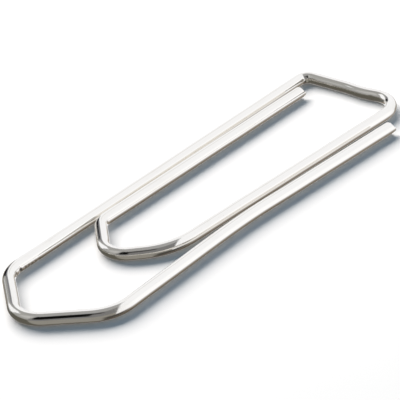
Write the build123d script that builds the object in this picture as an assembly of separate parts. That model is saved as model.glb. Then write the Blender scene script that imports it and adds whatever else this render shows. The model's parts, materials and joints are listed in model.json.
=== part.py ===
from build123d import *
from math import pi, radians, tan
import os

# A paper clip with pointed noses, bent from one length of round plated steel wire and lying flat.
# Lengths are in millimetres. +X runs from the square end to the noses, +Y from the long leg to the
# outer free leg, and +Z is up. The origin is under the middle of the clip, on the surface it lies on.
# The wire is parted where its runs meet its bends, and where it twists when paper spreads the clip:
# in the end bar and at the two nose tips. There it runs straight across the clip, along Y, so the
# round faces of a parted place turn on each other like the two halves of a torsion bar.

# Wire
wire_diameter = 0.80

# Outer loop, along the wire's centreline
long_leg_length = 28.43
long_leg_lean = 0.13
outer_nose_point = 3.19
free_leg_bow_share = 0.589
free_leg_bow_radius = 48.0
free_end_setback = 3.08
free_corner_setback = 0.30
free_corner_flare = 0.19
outer_tip_share = 0.491

# Square end, where the outer loop turns into the tongue
end_bar_width = 8.30
end_bar_hinge_share = 0.39
end_bar_dip_start_share = 0.44
end_bar_dip_end_share = 0.60
end_bar_dip = 0.13
end_corner_kick = 0.34

# Tongue, the inner loop
tongue_setback = 7.05
inner_nose_point = 2.67
inner_leg_taper = 1.34
inner_end_setback = 2.00
inner_leg_drift = 0.20

# Gaps between wires that lie side by side
long_pair_gap = 0.11
free_pair_gap = 0.46
free_end_gap = 0.62

# Inside radii of the bends, as wide as the pins that the wire was formed on
outer_free_pin_radius = 2.20
outer_long_pin_radius = 1.65
outer_tip_pin_radius = 1.50
end_outer_pin_radius = 0.32
end_bar_pin_radius = 6.00
end_inner_pin_radius = 1.45
inner_leg_pin_radius = 3.60
inner_tip_pin_radius = 1.24
inner_free_pin_radius = 0.80

# Two bends take up at most this share of the run between them
run_room_share = 0.96

# Lean of the sheared ends from square
shear_angle = 14.0


def inner_leg_y(x):
    """Place across the clip of the inner leg's centreline, which closes in towards the nose."""
    run_share = (x + end_corner_kick) / (inner_nose_x + end_corner_kick)
    return end_bar_width - inner_leg_taper * run_share


# Corners of the centreline, measured from the sharp corner between the long leg and the end bar
inner_nose_x = long_leg_length - tongue_setback
bow_x = free_leg_bow_share * long_leg_length
bow_y = inner_leg_y(bow_x) + wire_diameter + free_pair_gap
free_end_y = inner_leg_y(free_end_setback) + wire_diameter + free_end_gap
free_corner = Vector(long_leg_length - free_corner_setback, bow_y + free_corner_flare)
inner_near_y = inner_leg_y(inner_nose_x)
inner_far_y = long_leg_lean * inner_nose_x / long_leg_length + wire_diameter + long_pair_gap

corners = [
    Vector(free_end_setback, free_end_y),
    Vector(bow_x, bow_y),
    free_corner,
    Vector(long_leg_length + outer_nose_point, outer_tip_share * free_corner.Y),
    Vector(long_leg_length, long_leg_lean),
    Vector(0, 0),
    Vector(0, end_bar_dip_start_share * end_bar_width),
    Vector(end_bar_dip, end_bar_dip_end_share * end_bar_width),
    Vector(-end_corner_kick, end_bar_width),
    Vector(inner_nose_x, inner_near_y),
    Vector(inner_nose_x + inner_nose_point, (inner_near_y + inner_far_y) / 2),
    Vector(inner_nose_x, inner_far_y),
    Vector(inner_end_setback, inner_far_y + inner_leg_drift),
]
pin_radii = [
    free_leg_bow_radius,
    outer_free_pin_radius,
    outer_tip_pin_radius,
    outer_long_pin_radius,
    end_outer_pin_radius,
    end_bar_pin_radius,
    end_bar_pin_radius,
    end_inner_pin_radius,
    inner_leg_pin_radius,
    inner_tip_pin_radius,
    inner_free_pin_radius,
]


def half_turn(before, corner, after):
    """Tangent of half the turn at a corner: how far from it a bend of unit radius begins."""
    return tan(radians((corner - before).get_angle(after - corner)) / 2)


# Centreline radii of the bends. Where two bends would need more than the run between them, both are held down
wanted_radii = [pin_radius + wire_diameter / 2 for pin_radius in pin_radii]
setbacks = [
    0,
    *(radius * half_turn(*corners[place : place + 3]) for place, radius in enumerate(wanted_radii)),
    0,
]
held = [
    min(1, run_room_share * (after - before).length / (first + second))
    for before, after, first, second in zip(corners, corners[1:], setbacks, setbacks[1:])
]
bend_radii = [radius * min(held[place : place + 2]) for place, radius in enumerate(wanted_radii)]

# The whole centreline: a run, then a bend and a run for each corner
centreline = FilletPolyline(*corners, radius=bend_radii)
stretches = centreline.edges().sort_by(Wire(centreline.edges()))
(
    free_run_end,
    bow,
    free_run_nose,
    outer_free_bend,
    outer_free_slant,
    outer_tip,
    outer_long_slant,
    outer_long_bend,
    long_run,
    end_outer_bend,
    bar_run_outer,
    bar_dip_bend,
    bar_dip_run,
    bar_bend,
    bar_run_inner,
    end_inner_bend,
    inner_run,
    inner_leg_bend,
    inner_leg_slant,
    inner_tip,
    inner_free_slant,
    inner_free_bend,
    inner_free_run,
) = stretches


def parted(stretch, share):
    """The two parts of a stretch of centreline that is parted at a share of its length."""
    return stretch.trim(0, share), stretch.trim(share, 1)


# The tips part in the middle, and the end bar at its hinge
outer_tip_free, outer_tip_long = parted(outer_tip, 1 / 2)
inner_tip_leg, inner_tip_free = parted(inner_tip, 1 / 2)
bar_start = bar_run_outer @ 0
hinge_run = end_bar_hinge_share * end_bar_width - bar_start.Y
bar_outer, bar_inner = parted(bar_run_outer, hinge_run / bar_run_outer.length)

wire_sections = {
    "outer_free_leg": [free_run_end, bow, free_run_nose],
    "outer_nose_free_side": [outer_free_bend, outer_free_slant, outer_tip_free],
    "outer_nose_long_side": [outer_tip_long, outer_long_slant, outer_long_bend],
    "outer_long_leg": [long_run],
    "end_bend_outer_side": [end_outer_bend, bar_outer],
    "end_bend_inner_side": [bar_inner, bar_dip_bend, bar_dip_run, bar_bend, bar_run_inner, end_inner_bend],
    "inner_leg": [inner_run],
    "inner_nose_leg_side": [inner_leg_bend, inner_leg_slant, inner_tip_leg],
    "inner_nose_free_side": [inner_tip_free, inner_free_slant, inner_free_bend],
    "inner_free_leg": [inner_free_run],
}


def wire_along(stretches):
    """Round wire along some stretches of the centreline."""
    path = Wire(stretches)
    return sweep(Plane(path @ 0, z_dir=path % 0) * Circle(wire_diameter / 2), path=path)


def sheared(wire, end, inward):
    """Wire with its free end cut on a slant that leaves the end's near edge at full length."""
    slant_depth = wire_diameter / 2 * tan(radians(shear_angle))
    face = Plane(end + inward * slant_depth, z_dir=inward).rotated((0, 0, shear_angle))
    return split(wire, bisect_by=face, keep=Keep.TOP)


solids = {node: wire_along(stretches) for node, stretches in wire_sections.items()}
solids["outer_free_leg"] = sheared(solids["outer_free_leg"], free_run_end @ 0, free_run_end % 0)
solids["inner_free_leg"] = sheared(solids["inner_free_leg"], inner_free_run @ 1, -(inner_free_run % 1))

# Lay the clip on z = 0 with its middle over the origin
extent = Compound(list(solids.values())).bounding_box()
to_rest = Vector(-extent.center().X, -extent.center().Y, wire_diameter / 2)

os.makedirs("parts", exist_ok=True)
for node, solid in solids.items():
    export_step(Pos(to_rest) * solid, f"parts/{node}.step")
    section_volume = pi / 4 * wire_diameter**2 * Wire(wire_sections[node]).length
    print(node, "volume", round(solid.volume, 4), "of", round(section_volume, 4))

for name, point in {
    "end bar hinge": bar_outer @ 1,
    "outer tip hinge": outer_tip_free @ 1,
    "inner tip hinge": inner_tip_leg @ 1,
}.items():
    print(name, tuple(point + to_rest))
print("clip", extent.size)
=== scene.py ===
# %% [markdown]
# # A paper clip with pointed noses
# The real thing is one length of drawn and plated steel wire, bent round pins on a wire former. The
# frame holds that wire as ten nodes on four bodies, which turn on each other in the end bar and at the
# two nose tips. The frame's meshes are coarse, and a mirror finish shows every facet, so each node is
# rebuilt here as a fine mesh in the same place, riding on the same body.

# %% Load the frame
import json
from math import atan2, ceil, copysign, cos, pi, radians, sin, tan

import bpy
import numpy as np
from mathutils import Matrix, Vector


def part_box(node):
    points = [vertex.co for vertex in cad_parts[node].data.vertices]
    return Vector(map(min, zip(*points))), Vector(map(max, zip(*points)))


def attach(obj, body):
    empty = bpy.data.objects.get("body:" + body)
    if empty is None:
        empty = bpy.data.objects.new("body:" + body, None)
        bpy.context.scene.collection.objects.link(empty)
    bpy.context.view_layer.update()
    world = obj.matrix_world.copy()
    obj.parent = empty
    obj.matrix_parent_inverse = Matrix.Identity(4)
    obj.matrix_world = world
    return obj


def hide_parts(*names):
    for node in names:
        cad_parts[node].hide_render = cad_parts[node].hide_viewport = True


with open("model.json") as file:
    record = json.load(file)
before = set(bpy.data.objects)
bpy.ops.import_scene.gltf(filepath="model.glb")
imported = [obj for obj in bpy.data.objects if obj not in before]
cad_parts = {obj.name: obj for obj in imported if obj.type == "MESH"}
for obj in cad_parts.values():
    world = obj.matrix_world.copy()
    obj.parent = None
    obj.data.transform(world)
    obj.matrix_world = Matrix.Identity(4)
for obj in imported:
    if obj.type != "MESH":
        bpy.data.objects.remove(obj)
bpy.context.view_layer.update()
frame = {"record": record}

mm = 0.001


def place_in_scene(name, data):
    """A new object in the scene."""
    thing = bpy.data.objects.new(name, data)
    bpy.context.scene.collection.objects.link(thing)
    return thing


# %% [markdown]
# ## Camera
# The clip was photographed from above one corner of its nose end, from close by, with the camera tipped
# a little. The angles were found by fitting the plan of the wire to its edges in the picture. The camera
# could be placed by typing three rotations, but an azimuth, an elevation and a roll say more to a reader,
# so it is turned to look along the first two and then rolled.

# %% Camera
view_azimuth = radians(45.589)
view_elevation = radians(30.366)
view_roll = radians(8.079)
view_distance = 109.55 * mm
view_angle = radians(12.909)
aim = Vector((0.370, -0.461, 0.098)) * mm
clip_ratio = 100


def pointing(azimuth, elevation):
    """Unit vector towards an azimuth and an elevation."""
    return Vector((
        cos(elevation) * cos(azimuth),
        cos(elevation) * sin(azimuth),
        sin(elevation),
    ))


towards_camera = pointing(view_azimuth, view_elevation)
camera = place_in_scene("camera", bpy.data.cameras.new("camera"))
camera.matrix_world = towards_camera.to_track_quat("Z", "Y").to_matrix().to_4x4()
camera.rotation_euler.rotate_axis("Z", -view_roll)
camera.location = aim + towards_camera * view_distance
camera.data.angle = view_angle
camera.data.clip_start = view_distance / clip_ratio
camera.data.clip_end = view_distance * clip_ratio
bpy.context.scene.camera = camera
print("camera in mm:", [round(place / mm, 1) for place in camera.location])

# %% [markdown]
# ## Route of the wire
# A wire former feeds the wire, stops, and bends it round a pin, so the centreline is straight runs
# joined by round bends. It is laid out from the same sizes as the solids. The hinges of the frame lie on
# the centreline, and the one in the end bar gives the wire's radius and the place of that bar.

# %% Sizes of the clip
hinges = {joint["name"]: Vector(joint["pos_m"]) for joint in frame["record"]["behaviour"]["joints"]}
bar_hinge = hinges["tongue_lift"]
wire_radius = bar_hinge.z
wire_diameter = 2 * wire_radius

long_leg_length = 28.43 * mm
long_leg_lean = 0.13 * mm
outer_nose_point = 3.19 * mm
free_leg_bow_share = 0.589
free_end_setback = 3.08 * mm
free_corner_setback = 0.30 * mm
free_corner_flare = 0.19 * mm
outer_tip_share = 0.491
end_bar_width = 8.30 * mm
end_bar_hinge_share = 0.39
end_bar_dip_start_share = 0.44
end_bar_dip_end_share = 0.60
end_bar_dip = 0.13 * mm
end_corner_kick = 0.34 * mm
tongue_setback = 7.05 * mm
inner_nose_point = 2.67 * mm
inner_leg_taper = 1.34 * mm
inner_end_setback = 2.00 * mm
inner_leg_drift = 0.20 * mm
long_pair_gap = 0.11 * mm
free_pair_gap = 0.46 * mm
free_end_gap = 0.62 * mm

pins = {
    "bow": 48.0 * mm,
    "outer_free_bend": 2.20 * mm,
    "outer_tip": 1.50 * mm,
    "outer_long_bend": 1.65 * mm,
    "end_outer_bend": 0.32 * mm,
    "bar_dip_bend": 6.00 * mm,
    "bar_bend": 6.00 * mm,
    "end_inner_bend": 1.45 * mm,
    "inner_leg_bend": 3.60 * mm,
    "inner_tip": 1.24 * mm,
    "inner_free_bend": 0.80 * mm,
}
run_room_share = 0.96


def inner_leg_y(x):
    """Place across the clip of the inner leg, which closes in towards its nose."""
    closed_in = inner_leg_taper * (x + end_corner_kick) / (inner_nose_x + end_corner_kick)
    return end_bar_width - closed_in


inner_nose_x = long_leg_length - tongue_setback
bow_x = free_leg_bow_share * long_leg_length
bow_y = inner_leg_y(bow_x) + wire_diameter + free_pair_gap
free_corner_y = bow_y + free_corner_flare
free_end_y = inner_leg_y(free_end_setback) + wire_diameter + free_end_gap
inner_near_y = inner_leg_y(inner_nose_x)
inner_far_y = long_leg_lean * inner_nose_x / long_leg_length + wire_diameter + long_pair_gap
square_corner = bar_hinge.xy - Vector((0, end_bar_hinge_share * end_bar_width))
corners = [
    square_corner + Vector(corner)
    for corner in (
        (free_end_setback, free_end_y),
        (bow_x, bow_y),
        (long_leg_length - free_corner_setback, free_corner_y),
        (long_leg_length + outer_nose_point, outer_tip_share * free_corner_y),
        (long_leg_length, long_leg_lean),
        (0, 0),
        (0, end_bar_dip_start_share * end_bar_width),
        (end_bar_dip, end_bar_dip_end_share * end_bar_width),
        (-end_corner_kick, end_bar_width),
        (inner_nose_x, inner_near_y),
        (inner_nose_x + inner_nose_point, (inner_near_y + inner_far_y) / 2),
        (inner_nose_x, inner_far_y),
        (inner_end_setback, inner_far_y + inner_leg_drift),
    )
]
print("corners of the route:", len(corners))

# %% Runs and bends
runs = [
    "free_run_end", "free_run_nose", "outer_free_slant", "outer_long_slant",
    "long_run", "bar_run_outer", "bar_dip_run", "bar_run_inner",
    "inner_run", "inner_leg_slant", "inner_free_slant", "inner_free_run",
]
bends = list(pins)


def turn_between(before, after):
    """The turn from one angle to another, at most half a turn either way."""
    return (after - before + pi) % (2 * pi) - pi


def bend_radii(legs, turns):
    """Centreline radii of the bends. Two that need more than the run between them are held down."""
    wanted = [pin + wire_radius for pin in pins.values()]
    setbacks = [0, *(radius * tan(abs(turn) / 2) for radius, turn in zip(wanted, turns)), 0]
    held = [
        min(1, run_room_share * leg.length / (first + second))
        for leg, first, second in zip(legs, setbacks, setbacks[1:])
    ]
    return [radius * min(held[place : place + 2]) for place, radius in enumerate(wanted)]


def lay_route():
    """Runs and bends in order: name, length, start, heading and curvature, which is 0 on a run."""
    legs = [after - before for before, after in zip(corners, corners[1:])]
    headings = [atan2(leg.y, leg.x) for leg in legs]
    turns = [turn_between(before, after) for before, after in zip(headings, headings[1:])]
    route, here = [], corners[0]
    for place, radius in enumerate(bend_radii(legs, turns)):
        turn, heading, corner = turns[place], headings[place], corners[place + 1]
        setback = radius * tan(abs(turn) / 2)
        bend_start = corner - legs[place].normalized() * setback
        curve = copysign(1 / radius, turn)
        route.append((runs[place], (bend_start - here).length, here, heading, 0.0))
        route.append((bends[place], radius * abs(turn), bend_start, heading, curve))
        here = corner + legs[place + 1].normalized() * setback
    route.append((runs[-1], (corners[-1] - here).length, here, headings[-1], 0.0))
    return route


route = lay_route()
start_of, end_of, wire_length = {}, {}, 0.0
for stretch, length, *_ in route:
    start_of[stretch] = wire_length
    wire_length += length
    end_of[stretch] = wire_length


def middle_of(stretch):
    """Distance along the wire of the middle of a run or bend."""
    return (start_of[stretch] + end_of[stretch]) / 2


print("length of wire in mm:", round(wire_length / mm, 2))

# %% [markdown]
# ## Where one node ends and the next begins
# Each section is named for the frame's node that it stands for. The tips part in the middle and the end
# bar at its hinge, where the wire runs along the hinge's axis, so the round faces turn on each other.

# %% Sections
bar_start = next(start for name, _, start, *_ in route if name == "bar_run_outer")
section_ends = {
    "outer_free_leg": end_of["free_run_nose"],
    "outer_nose_free_side": middle_of("outer_tip"),
    "outer_nose_long_side": end_of["outer_long_bend"],
    "outer_long_leg": end_of["long_run"],
    "end_bend_outer_side": start_of["bar_run_outer"] + bar_hinge.y - bar_start.y,
    "end_bend_inner_side": end_of["end_inner_bend"],
    "inner_leg": end_of["inner_run"],
    "inner_nose_leg_side": middle_of("inner_tip"),
    "inner_nose_free_side": end_of["inner_free_bend"],
    "inner_free_leg": wire_length,
}
body_of_node = {
    node: body for body, nodes in frame["record"]["behaviour"]["bodies"].items() for node in nodes
}
print("sections:", len(section_ends))

# %% [markdown]
# ## Stations along the wire
# A mesh of a wire is rings of points, and the rings have to be close together where it bends. The
# stations are spread evenly over each stretch, and one falls on each section's end, so that neighbours
# share their ring and a reflection runs on across the parting. One corner is marked by the forming tool,
# and there they are closer still.

# %% Stations
run_step = 0.12 * mm
bend_step = radians(2.5)
marked_step = 0.03 * mm
marked_reach = 1.6 * mm
marked_start = start_of["outer_long_bend"]
marked_end = end_of["outer_long_bend"] + marked_reach
rounding = run_step / 1000


def spread_stations():
    """Distances along the wire, closer together in the bends."""
    stops = sorted({0.0, marked_end, *end_of.values(), *section_ends.values()})
    distances = [0.0]
    for first, last in zip(stops, stops[1:]):
        curve = next(curve for name, *_, curve in route if first < end_of[name] - rounding)
        step = min(run_step, bend_step / abs(curve)) if curve else run_step
        if marked_start <= first < marked_end:
            step = marked_step
        count = ceil((last - first) / step)
        distances += [first + (last - first) * k / count for k in range(1, count + 1)]
    return np.array(distances)


def place_on_route(distances):
    """Centreline points, headings and curvatures at some distances along the wire."""
    points, headings, curves = [], [], []
    for distance in distances:
        name, _, start, heading, curve = next(
            stretch for stretch in route if distance <= end_of[stretch[0]] + rounding
        )
        along = distance - start_of[name]
        turned = heading + curve * along
        if curve:
            step = Vector((sin(turned) - sin(heading), cos(heading) - cos(turned))) / curve
        else:
            step = Vector((cos(heading), sin(heading))) * along
        points.append(start + step)
        headings.append(turned)
        curves.append(curve)
    return np.array(points), np.array(headings), np.array(curves)


stations = spread_stations()
centres, headings, curves = place_on_route(stations)
print("rings along the wire:", len(stations))

# %% [markdown]
# ## Round section, and what bending does to it
# Drawn wire is round, but a bend squeezes it: it gets a little narrower across the bend, more so where
# the bend is tight. The squeeze follows the curvature, smoothed along the wire because the metal can't
# change its section in one step. A slow wander of about a hundredth of a millimetre stands for wire that
# was never quite straight. It stops near the free ends and in tight bends.

# %% Section along the wire
sides = 56
squeeze_share = 0.09
squeeze_reach = 0.25 * mm
wander = 0.012 * mm
wander_lengths = (23 * mm, 9.1 * mm, 5.3 * mm)
steady_ends = 2 * mm
steady_tightness = 0.15

angles = np.arange(sides) * 2 * pi / sides


def bell(offsets, reach):
    """Bell-shaped weight: 1 at no offset, and next to nothing at three times the reach."""
    return np.exp(-0.5 * (offsets / reach) ** 2)


def smoothed(values, reach):
    """Values at the stations, averaged over neighbours with a bell-shaped weight."""
    gaps = stations[:, None] - stations[None, :]
    weights = bell(gaps, reach) * np.gradient(stations)
    return weights @ values / weights.sum(1)


tightness = smoothed(np.abs(curves) * wire_radius, squeeze_reach)
half_widths = wire_radius * (1 - squeeze_share * tightness)
away_from_ends = np.clip(np.minimum(stations, wire_length - stations) / steady_ends, 0, 1)
away_from_bends = 1 - np.clip(tightness / steady_tightness, 0, 1)
waves = sum(
    wander * np.sin(2 * pi * stations / length + turn)
    for turn, length in enumerate(wander_lengths, start=1)
)
sideways = waves * away_from_ends * away_from_bends / len(wander_lengths)
print("narrowest width in mm:", round(2 * half_widths.min() / mm, 3))

# %% [markdown]
# ## Nicks from the forming tool
# The pin and the slide that push the wire round a bend leave small dents, most of all on the inside of
# the corner between the long leg and the outer nose. Painting dark spots there would look flat from
# other sides, so the dents are pushed into the mesh: each is a smooth hollow at a distance along the
# wire and an angle round it. The deepest of them also get a near-black painted shade in the plating.

# %% Nicks
corner_end = end_of["outer_long_bend"]
nicks = [
    # along the wire, degrees round it, length, breadth in degrees, depth
    (corner_end - 1.00 * mm, 188, 0.090 * mm, 15, 0.095 * mm),
    (corner_end - 0.38 * mm, 192, 0.075 * mm, 15, 0.095 * mm),
    (corner_end + 0.10 * mm, 200, 0.050 * mm, 11, 0.040 * mm),
    (corner_end + 0.36 * mm, 204, 0.050 * mm, 11, 0.040 * mm),
    (corner_end + 0.62 * mm, 212, 0.055 * mm, 12, 0.040 * mm),
    (corner_end + 0.90 * mm, 206, 0.045 * mm, 10, 0.036 * mm),
    (corner_end + 1.25 * mm, 214, 0.060 * mm, 12, 0.034 * mm),
    (end_of["outer_free_bend"] + 0.30 * mm, 190, 0.09 * mm, 18, 0.030 * mm),
    (start_of["inner_leg_bend"] - 0.25 * mm, 175, 0.10 * mm, 20, 0.030 * mm),
    (start_of["end_inner_bend"] - 0.20 * mm, 180, 0.10 * mm, 18, 0.025 * mm),
    (end_of["end_outer_bend"] + 0.25 * mm, 176, 0.10 * mm, 20, 0.035 * mm),
]


def nick_depths():
    """How far each point of each ring is pushed in."""
    depths = np.zeros((len(stations), sides))
    for along, degrees, length, breadth, depth in nicks:
        turns = turn_between(radians(degrees), angles)
        hollow = np.outer(bell(stations - along, length), bell(turns, radians(breadth)))
        depths += depth * hollow
    return depths


depths = nick_depths()
print("nicks:", len(nicks), "deepest in mm:", round(depths.max() / mm, 3))

# %% [markdown]
# ## Sheared ends
# The former cuts the wire with a knife, which bites in on one side, leaves a smooth band, then breaks
# the rest and pulls out a small burr on the far side. The cut leans, so one side stays longer. A flat
# disc would do from far away, but the end of a wire is where people look for how it was made, so the
# face is a fine disc of points whose depth follows those steps.

# %% Shape of a sheared face
shear_angle = radians(14.0)
shear_depth = wire_radius * tan(shear_angle)
shear_reach = 0.9 * mm
bite_round = 0.07 * mm
bite_power = 4
break_step = 0.05 * mm
break_tilt = 0.4
break_grain = 0.012 * mm
grain_waves = ((9, 4), (-5, 7))
burr = 0.16 * mm

# Where in the section each of these sets in and where it is full, in shares of the radius
bite_band = (0.55, 1.0)
break_band = (0.30, 0.42)
grain_band = (0.3, 0.5)
burr_band = (0.80, 1.0)
burr_rim = (0.5, 1.0)
burr_below = (-0.9, 0.3)


def eased(low, high, values):
    """0 below low, 1 above high, and a smooth rise between them."""
    share = np.clip((values - low) / (high - low), 0, 1)
    return share * share * (3 - 2 * share)


def shear_face(across, up):
    """Depth of the cut in from the wire's end, at a place in the section in shares of the radius."""
    out = np.hypot(across, up)
    bitten = bite_round * eased(*bite_band, -across * out) * out**bite_power
    broken = break_step * eased(*break_band, across) * (1 - break_tilt * up)
    grain = break_grain
    for waves_across, waves_up in grain_waves:
        grain = grain * np.sin(waves_across * across + waves_up * up)
    grain = grain * eased(*grain_band, across)
    pulled = burr * eased(*burr_band, across * out) * eased(*burr_rim, out) * eased(*burr_below, -up)
    return shear_depth * (1 - across) + bitten + broken + grain - pulled


print("lean of the cut in mm:", round(2 * shear_depth / mm, 3))

# %% [markdown]
# ## Rings of points
# With the squeeze, the wander, the nicks and the cuts known, every ring is worked out at once with
# arrays. The normals come from the same grid of points, so a mirror sees the true surface and no
# facets, also across the joins between sections.

# %% Rings
left = np.stack([-np.sin(headings), np.cos(headings), 0 * headings], 1)
ahead = np.stack([np.cos(headings), np.sin(headings), 0 * headings], 1)
upward = np.array((0.0, 0.0, 1.0))

widths = (half_widths[:, None] - depths) * np.cos(angles) + sideways[:, None]
heights = (wire_radius - depths) * np.sin(angles)


def end_shifts():
    """How far points near the free ends move along the wire, to lay the end rings on the cuts."""
    across, up = np.cos(angles), np.sin(angles)
    near_start = 1 - eased(0, shear_reach, stations)
    near_end = 1 - eased(0, shear_reach, wire_length - stations)
    start_shifts = np.outer(near_start, shear_face(across, up))
    return start_shifts - np.outer(near_end, shear_face(-across, up))


grid = (
    np.concatenate([centres, np.full((len(stations), 1), wire_radius)], 1)[:, None, :]
    + widths[..., None] * left[:, None, :]
    + heights[..., None] * upward
    + end_shifts()[..., None] * ahead[:, None, :]
)
along_grid = np.gradient(grid, stations, axis=0)
round_grid = np.roll(grid, -1, axis=1) - np.roll(grid, 1, axis=1)
normals = np.cross(round_grid, along_grid)
normals /= np.linalg.norm(normals, axis=2, keepdims=True)

# The same points on the wire before it was bent, in millimetres, for the finish
straight = np.stack([widths, heights, np.broadcast_to(stations[:, None], widths.shape)], 2) / mm
print("points in the rings:", grid.shape[0] * grid.shape[1])

# %% [markdown]
# ## Meshes
# Each section takes its rings from the grid. Its ends are closed, flat where the wire goes on in the
# next section and with the sheared face at the two free ends, so every mesh is a closed solid. Four
# attributes go with the points for the finish: where a point was on the straight wire, how hard the
# metal was bent there, whether it is on a cut face, and how deep a nick is there.

# %% Faces and normals
face_rings = 14


def rings_from(start, count):
    """Point numbers of some rings that follow each other in a mesh."""
    return [range(start + k * sides, start + (k + 1) * sides) for k in range(count)]


def quads_along(rings):
    """Faces between each ring and the next."""
    following = [*range(1, sides), 0]
    return [
        [here[j], here[n], there[n], there[j]]
        for here, there in zip(rings, rings[1:])
        for j, n in enumerate(following)
    ]


def free_face(ring, outward):
    """Points of a sheared face from its rim in to its hub, and their places on the straight wire."""
    sign = -outward
    shares = 1 - np.arange(1, face_rings) / face_rings
    across = np.append(np.outer(shares, np.cos(angles)), 0.0)
    up = np.append(np.outer(shares, np.sin(angles)), 0.0)
    depth = sign * shear_face(sign * across, up)
    wide = across * half_widths[ring] + sideways[ring]
    high = up * wire_radius
    points = (
        np.append(centres[ring], wire_radius)
        + np.outer(wide, left[ring])
        + np.outer(high, upward)
        + np.outer(depth, ahead[ring])
    )
    return points, np.stack([wide, high, stations[ring] + depth], 1) / mm


def give_normals(mesh, side_normals, side_faces):
    """Sets the true normals on the wire's side, and each end face's own on the ends."""
    face_normals = [polygon.normal.copy() for polygon in mesh.polygons]
    at_point = {}
    for polygon in mesh.polygons[side_faces:]:
        pull = face_normals[polygon.index] * polygon.area
        for point in polygon.vertices:
            at_point[point] = at_point.get(point, Vector()) + pull
    loops = []
    for polygon in mesh.polygons:
        on_side = polygon.index < side_faces
        for point in polygon.vertices:
            loops.append(side_normals[point] if on_side else at_point[point].normalized())
    mesh.normals_split_custom_set(loops)


print("points in a sheared face:", (face_rings - 1) * sides + 1)

# %% Section meshes
hardest_bend = 0.5
bend_strength = np.clip(tightness / hardest_bend, 0, 1)


def build_section(node, first, last):
    """One section of the wire as a closed mesh, from ring number first to ring number last."""
    count = last - first + 1
    total = count * sides
    points = [grid[first : last + 1].reshape(-1, 3)]
    places = [straight[first : last + 1].reshape(-1, 3)]
    bent = [np.repeat(bend_strength[first : last + 1], sides)]
    cut = [np.zeros(total)]
    dented = [depths[first : last + 1].ravel() / depths.max()]
    rings = rings_from(0, count)
    faces = quads_along(rings)
    side_faces = len(faces)
    for ring, edge, outward in ((first, rings[0], -1), (last, rings[-1], 1)):
        end_faces = [list(edge)]
        if ring in (0, len(stations) - 1):
            new_points, new_places = free_face(ring, outward)
            added = len(new_points)
            hub = total + added - 1
            face_edges = [edge, *rings_from(total, face_rings - 1)]
            inmost = face_edges[-1]
            end_faces = quads_along(face_edges)
            end_faces += [[inmost[j], inmost[(j + 1) % sides], hub] for j in range(sides)]
            points.append(new_points)
            places.append(new_places)
            bent.append(np.zeros(added))
            cut.append(np.ones(added))
            dented.append(np.zeros(added))
            total += added
        faces += end_faces if outward > 0 else [face[::-1] for face in end_faces]
    mesh = bpy.data.meshes.new(node)
    mesh.from_pydata(np.concatenate(points).tolist(), [], faces)
    mesh.polygons.foreach_set("use_smooth", [True] * len(faces))
    for name, kind, field, values in (
        ("straight_wire", "FLOAT_VECTOR", "vector", places),
        ("bent", "FLOAT", "value", bent),
        ("cut", "FLOAT", "value", cut),
        ("dented", "FLOAT", "value", dented),
    ):
        attribute = mesh.attributes.new(name, kind, "POINT")
        attribute.data.foreach_set(field, np.concatenate(values).ravel())
    give_normals(mesh, normals[first : last + 1].reshape(-1, 3), side_faces)
    return mesh


pieces, first = {}, 0
for node, end in section_ends.items():
    last = int(np.argmin(np.abs(stations - end)))
    piece = place_in_scene(node + "_wire", build_section(node, first, last))
    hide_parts(node)
    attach(piece, body_of_node[node])
    pieces[node] = piece
    low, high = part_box(node)
    points = np.array([vertex.co for vertex in piece.data.vertices])
    off = max(np.abs(points.min(0) - low).max(), np.abs(points.max(0) - high).max())
    print(piece.name, "points", len(points), "off its node by mm", round(off / mm, 3))
    first = last

# %% [markdown]
# ## Sums of sockets
# A finish is a sum of patterns. Written as nodes and links, a sum is hard to read, so a small class
# wraps a socket: adding, multiplying or subtracting two of them, or one and a number, adds the Math node
# that does it. Every other node comes from its one method, which sets the node's settings first and then
# its inputs.

# %% Socket class
# The Mix node's two colours and its result go by number, because its other kinds share their names
mix_first, mix_second, mix_result = 6, 7, 2


class Socket:
    """A node's output, or a tree with no output picked yet, that takes part in sums."""

    def __init__(self, tree, output=None):
        self.tree, self.output = tree, output

    def node(self, kind, settings=None, inputs=None, output=0):
        """Adds a node, sets it up and returns one of its outputs."""
        made = self.tree.nodes.new(kind)
        for name, value in (settings or {}).items():
            setattr(made, name, value)
        for key, value in (inputs or {}).items():
            if isinstance(value, Socket):
                self.tree.links.new(value.output, made.inputs[key])
            else:
                made.inputs[key].default_value = value
        return Socket(self.tree, made.outputs[output])

    def sibling(self, output):
        """Another output of the node that this one comes from."""
        return Socket(self.tree, self.output.node.outputs[output])

    def math(self, operation, *values):
        """A Math node on this value and others."""
        return self.node("ShaderNodeMath", {"operation": operation}, dict(enumerate((self, *values))))

    def __add__(self, other):
        return self.math("ADD", other)

    __radd__ = __add__

    def __mul__(self, other):
        return self.math("MULTIPLY", other)

    __rmul__ = __mul__

    def __sub__(self, other):
        return self.math("SUBTRACT", other)

    def __rsub__(self, other):
        return (self * -1) + other

    def rising(self, low, high):
        """0 below low, 1 above high and a smooth step between."""
        return self.node(
            "ShaderNodeMapRange", {"interpolation_type": "SMOOTHSTEP"},
            {"Value": self, "From Min": low, "From Max": high},
        )

    def between(self, first, second):
        """The first colour where this value is 0, the second where it is 1."""
        return self.node(
            "ShaderNodeMix", {"data_type": "RGBA"},
            {"Factor": self, mix_first: first, mix_second: second}, output=mix_result,
        )


def new_material(name):
    """A material, its tree as a Socket to make nodes from, and its Principled shader."""
    material = bpy.data.materials.new(name)
    material.use_nodes = True
    return material, Socket(material.node_tree), material.node_tree.nodes["Principled BSDF"]


def feed(shader, name, value):
    """Links a value to a socket of the shader."""
    value.tree.links.new(value.output, shader.inputs[name])


print("Socket ready")

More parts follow.
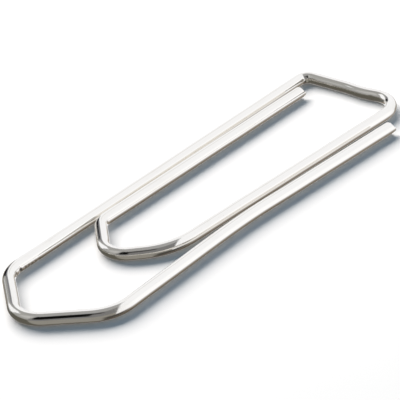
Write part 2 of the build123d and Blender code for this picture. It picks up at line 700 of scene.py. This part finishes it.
# %% [markdown]
# ## Patterns on the wire
# The steel is drawn through a die, which leaves fine lines along it, then plated with a thin bright
# layer that is slightly warm in tone. Bending scuffs it where it met the tools, and handling dulls it in
# soft patches. All patterns are laid out on the straight wire, in millimetres, so the draw lines follow
# every bend. An image could carry them too, but it would need very many pixels to keep such fine lines
# along the whole wire.

# %% Patterns
# From which share of a noise, or of the deepest nick, a pattern sets in, and where it is full
speck_range = (0.70, 0.78)
scuff_range = (0.50, 0.66)
deep_nick_range = (0.48, 0.80)

plating, tree, shader = new_material("plated_wire")


def carried(name, output):
    """One of the attributes that the points carry."""
    return tree.node("ShaderNodeAttribute", {"attribute_name": name}, output=output)


straight_place = carried("straight_wire", "Vector")
bent, cut, dented = (carried(name, "Fac") for name in ("bent", "cut", "dented"))


def stretched(across, along):
    """The straight wire's coordinates, with that many features per millimetre across and along it."""
    return tree.node(
        "ShaderNodeVectorMath", {"operation": "MULTIPLY"},
        {0: straight_place, 1: (across, across, along)},
    )


def noise(across, along, detail=2.0, roughness=0.5):
    """Noise on the straight wire, from features per millimetre across and along it."""
    return tree.node(
        "ShaderNodeTexNoise", {},
        {"Vector": stretched(across, along), "Scale": 1.0, "Detail": detail, "Roughness": roughness},
    )


draw_lines = noise(across=26.0, along=0.16, detail=3.0, roughness=0.6)
smudges = noise(across=1.1, along=0.35, detail=3.0)
specks = noise(across=9.0, along=7.0, detail=1.0).rising(*speck_range)
scuffs = noise(across=5.0, along=14.0).rising(*scuff_range) * bent
cut_grain = noise(across=20.0, along=20.0) * cut
# The deepest nicks, where the plating gets a painted shade and a little more roughness
deep_nicks = dented.rising(*deep_nick_range)
print("nodes in the patterns:", len(tree.tree.nodes))

# %% [markdown]
# ## Bright plated wire
# The plating is a smooth metal. One even colour would do from far away, but close by it would look too
# clean. So the patterns tint it a little, roughen it a little and seem to raise it by a few thousandths
# of a millimetre. That relief is too fine to model: a bump tilts how the light meets the surface and
# moves no point. The deepest nicks get a near-black painted shade; a sheared end shows bare, darker
# steel.

# %% Plating
plating_colour = (0.91, 0.885, 0.84, 1.0)
stained_colour = (0.83, 0.79, 0.72, 1.0)
steel_colour = (0.50, 0.48, 0.45, 1.0)
# Painted shade, near black, in the deepest nicks
nick_shade_colour = (0.035, 0.03, 0.028, 1.0)

# How much each pattern stains the plating
smudge_stain_range, smudge_stain = (0.52, 0.74), 0.35
line_stain_range, line_stain = (0.55, 0.80), 0.25
speck_stain = 0.4

# How rough the plating is, and what each pattern adds
plating_rough = 0.045
line_rough = 0.05
smudge_rough_range, smudge_rough = (0.45, 0.75), 0.05
scuff_rough = 0.16
speck_rough = 0.1
deep_nick_rough = 0.3
cut_rough = 0.38

# How far each pattern stands out of the surface, as shares of the relief's height
line_relief = 0.5
speck_relief = -0.6
scuff_relief = -0.5
cut_relief = 4.0
relief_height = 0.004 * mm
relief_strength = 0.35

stains = (
    smudge_stain * smudges.rising(*smudge_stain_range)
    + line_stain * draw_lines.rising(*line_stain_range)
    + speck_stain * specks
)
# Stains on the plating, then the near-black painted shade in the deepest nicks
colour = deep_nicks.between(stains.between(plating_colour, stained_colour), nick_shade_colour)
feed(shader, "Base Color", cut.between(colour, steel_colour))
roughness = (
    plating_rough
    + line_rough * draw_lines
    + smudge_rough * smudges.rising(*smudge_rough_range)
    + scuff_rough * scuffs
    + speck_rough * specks
    + deep_nick_rough * deep_nicks
)
feed(shader, "Roughness", roughness * (1 - cut) + cut * cut_rough)
shader.inputs["Metallic"].default_value = 1.0
relief = (
    line_relief * draw_lines
    + speck_relief * specks
    + scuff_relief * scuffs
    + cut_relief * cut_grain
)
bump = tree.node(
    "ShaderNodeBump", {},
    {"Strength": relief_strength, "Distance": relief_height, "Height": relief},
)
feed(shader, "Normal", bump)
for piece in pieces.values():
    piece.data.materials.append(plating)
print("plated pieces:", len(pieces))

# %% [markdown]
# ## Floor
# The clip lies on a plain white sheet. A plane would do, and a plane it is: large enough to reach the
# edge of every view, with a matt white that keeps the shadows.

# %% Floor
floor_reach = 900 * mm
floor_colour = (0.93, 0.93, 0.93, 1.0)
floor_rough = 0.9
floor_corners = ((-1, -1), (1, -1), (1, 1), (-1, 1))

floor_mesh = bpy.data.meshes.new("floor")
floor_mesh.from_pydata(
    [(x * floor_reach, y * floor_reach, 0) for x, y in floor_corners], [], [(0, 1, 2, 3)],
)
floor = place_in_scene("floor", floor_mesh)
sheet, _, sheet_shader = new_material("white_sheet")
sheet_shader.inputs["Base Color"].default_value = floor_colour
sheet_shader.inputs["Roughness"].default_value = floor_rough
sheet_shader.inputs["Specular IOR Level"].default_value = 0.0
floor_mesh.materials.append(sheet)
print("floor reaches", round(floor_reach / mm), "mm each way")

# %% [markdown]
# ## Room to open downwards
# The tongue and the two arms bend either way, and a fixed sheet would swallow what goes below it. A real
# clip is picked up before it is opened that way. So each moving tip carries an empty, and a floor
# constraint keeps the sheet from standing higher than any of the three. At rest all of them touch it.

# %% Room to open downwards
square_end, nose_end = 0, 1
moving_tips = {
    "inner_nose_leg_side": nose_end,
    "inner_free_leg": square_end,
    "outer_free_leg": square_end,
}

for node, end in moving_tips.items():
    low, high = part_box(node)
    tip = place_in_scene(node + "_tip", None)
    tip.parent = pieces[node]
    tip.location = ((low, high)[end][0], (low[1] + high[1]) / 2, low[2])
    under_tip = floor.constraints.new("FLOOR")
    under_tip.target = tip
    under_tip.floor_location = "FLOOR_NEGATIVE_Z"
print("the sheet stays under tips:", len(floor.constraints))

# %% [markdown]
# ## Studio
# A mirror finish shows little of itself and much of the room, so the room matters as much as the
# material. This one was guessed from what the wire shows. White sheets stand behind the clip, where one
# has a seam, and on its left, with a dark gap between them. On the right there is a glow, and above and
# around the sheets a grey ceiling and grey walls. Beside the lens it is nearly black. The table is
# darker than the sheets, with white strips behind the clip. In front of the clip, behind it, on its right
# and close under it that dark is a painted shadow: the wire's own shadow on the table, as the metal
# mirrors it. Where two wires mirror each other, the table is hidden and a nearly white sheet shows
# between them. The sheets could be planes, but as patches of the world's sky each is only a range of
# azimuth and elevation. Only rays that leave the metal see them, and the floor and the lamp are hidden
# from those rays. The camera sees plain white, and the floor gets an even, slightly blue fill.

# %% Directions in the sky
world = bpy.data.worlds.new("studio")
world.use_nodes = True
world.cycles.sampling_method = "NONE"
bpy.context.scene.world = world
sky = Socket(world.node_tree)
direction = sky.node("ShaderNodeTexCoord", output="Generated")
first_axis = sky.node("ShaderNodeSeparateXYZ", {}, {"Vector": direction})
x, y, z = (first_axis.sibling(axis) for axis in "XYZ")
elevation = z.math("ARCSINE")
azimuth = y.math("ARCTAN2", x)


def band(start, end, low, high, soft, lean=0.0):
    """1 in a patch of sky, by azimuth and elevation in degrees. A lean shifts it round as it rises."""
    half, edge = radians(end - start) / 2, radians(soft) / 2
    facing = (azimuth + elevation * lean - radians(start + end) / 2).math("COSINE")
    mask = elevation.rising(radians(low) - edge, radians(low) + edge)
    mask = mask * (1 - elevation.rising(radians(high) - edge, radians(high) + edge))
    if half < pi:
        mask = mask * facing.rising(cos(min(half + edge, pi)), cos(max(half - edge, 0)))
    return mask


def bowl(degrees_round, degrees_up, radius, soft):
    """1 in a round patch of sky, from its middle and its radius, in degrees."""
    middle, edge = pointing(radians(degrees_round), radians(degrees_up)), radians(soft) / 2
    facing = sky.node(
        "ShaderNodeVectorMath", {"operation": "DOT_PRODUCT"},
        {0: direction, 1: middle}, output="Value",
    )
    return facing.rising(cos(radians(radius) + edge), cos(radians(radius) - edge))


print("sky ready")

# %% Sheets, gaps and table
sheet_white = (1.002, 1.019, 1.062, 1.0)
room_colour = (0.208, 0.208, 0.21, 1.0)
patches = {
    # band: azimuth from and to, elevation from and to, softness of the edge; bowl: its middle's
    # azimuth and elevation, radius, softness of the edge; all in degrees, then the colour
    "ceiling": (band(-180, 180, 62, 120, 6), (0.378, 0.38, 0.384, 1.0)),
    "left_wall": (band(236, 350, -20, 62, 6), (0.378, 0.38, 0.375, 1.0)),
    "front_wall": (band(314, 352, 28, 62, 14), (0.52, 0.52, 0.515, 1.0)),
    "back_sheet": (bowl(157, -6.4, 75, 2), sheet_white),
    "back_left_sheet": (band(190, 240, -6, 60, 3), sheet_white),
    "right_glow": (bowl(126, 3, 18, 34), (1.1, 1.115, 1.15, 1.0)),
    "left_sheet": (band(264, 297, 4, 46, 3), sheet_white),
    "seam": (band(214, 224, 32, 46, 5), (0.84, 0.845, 0.85, 1.0)),
    "gap_edge": (band(246, 261, -4, 34, 4, lean=0.28), (0.246, 0.25, 0.268, 1.0)),
    "gap": (band(248, 261, -8, 22, 2, lean=0.3), (0.008, 0.007, 0.011, 1.0)),
    "lens_shade": (band(0, 30, 20, 62, 3), (0.004, 0.004, 0.004, 1.0)),
    "lens_shade_edge": (band(29, 58, 42, 62, 8), (0.071, 0.069, 0.071, 1.0)),
    # Painted shadow: the wire's own shadow on the table in front of the clip, as the metal mirrors it
    "painted_shadow_front": (band(-10, 80, -100, -1, 4), (0.284, 0.273, 0.246, 1.0)),
    "table_left": (band(262, 300, -100, -6, 10), (0.123, 0.125, 0.116, 1.0)),
    "table_left_front": (band(290, 350, -100, 6, 6), (0.113, 0.107, 0.089, 1.0)),
    # Painted shadow: the wire's own shadow on the table right of and behind the clip, as mirrored
    "painted_shadow_right": (band(84, 198, -100, -29, 26), (0.302, 0.269, 0.228, 1.0)),
    "painted_shadow_behind": (band(165, 262, -100, -9, 14), (0.302, 0.269, 0.228, 1.0)),
    "table_back_left": (band(219, 238, -30, -4, 5), sheet_white),
    "table_between": (band(206, 238, -41, -23, 6), sheet_white),
    # Painted shadow: the darkest part of the wire's shadow on the table, close under the clip, as
    # mirrored
    "painted_shadow_near": (band(120, 262, -100, -50, 16), (0.113, 0.097, 0.08, 1.0)),
    "painted_shadow_under": (band(56, 112, -100, -32, 20), (0.071, 0.065, 0.058, 1.0)),
}
sheet_between = (0.94, 0.95, 0.98, 1.0)
hidden_table = band(110, 356, -100, -3, 10)
more_than_once = 1.5
fill_colour = (0.118, 0.171, 0.22, 1.0)
white = (1.0, 1.0, 1.0, 1.0)

room = room_colour
for mask, colour in patches.values():
    room = mask.between(room, colour)
ray = sky.node("ShaderNodeLightPath")
mirrored_twice = ray.sibling("Glossy Depth").math("GREATER_THAN", more_than_once)
room = (mirrored_twice * hidden_table).between(room, sheet_between)
seen, glossy, through = (
    ray.sibling("Is " + kind + " Ray") for kind in ("Camera", "Glossy", "Transmission")
)
background = world.node_tree.nodes["Background"]
feed(background, "Color", seen.between((glossy + through).between(fill_colour, room), white))
floor.visible_glossy = False
print("patches:", len(patches))

# %% [markdown]
# ## Soft box
# The shadows fall towards the camera and to the right, are darkest against the wire and fade out within
# about two wire thicknesses. That takes one broad lamp, rather low, behind the clip and to its left.
# A lamp's power is worked out from how bright its face should be, which is easier to judge than watts.

# %% Soft box
box_azimuth = radians(248)
box_elevation = radians(32)
box_distance = 300 * mm
box_width = 370 * mm
box_height = 180 * mm
box_glow = 11.5
box_colour = (1.0, 0.943, 0.892)

towards_box = pointing(box_azimuth, box_elevation)
lamp = place_in_scene("soft_box", bpy.data.lights.new("soft_box", "AREA"))
lamp.location = towards_box * box_distance
lamp.rotation_mode = "QUATERNION"
lamp.rotation_quaternion = towards_box.to_track_quat("Z", "Y")
lamp.data.shape = "RECTANGLE"
lamp.data.size, lamp.data.size_y = box_width, box_height
lamp.data.energy = box_glow * pi * box_width * box_height
lamp.data.color = box_colour
lamp.visible_camera = False
lamp.visible_glossy = False
bpy.context.scene.view_settings.view_transform = "Standard"
print("soft box in W:", round(lamp.data.energy, 3))
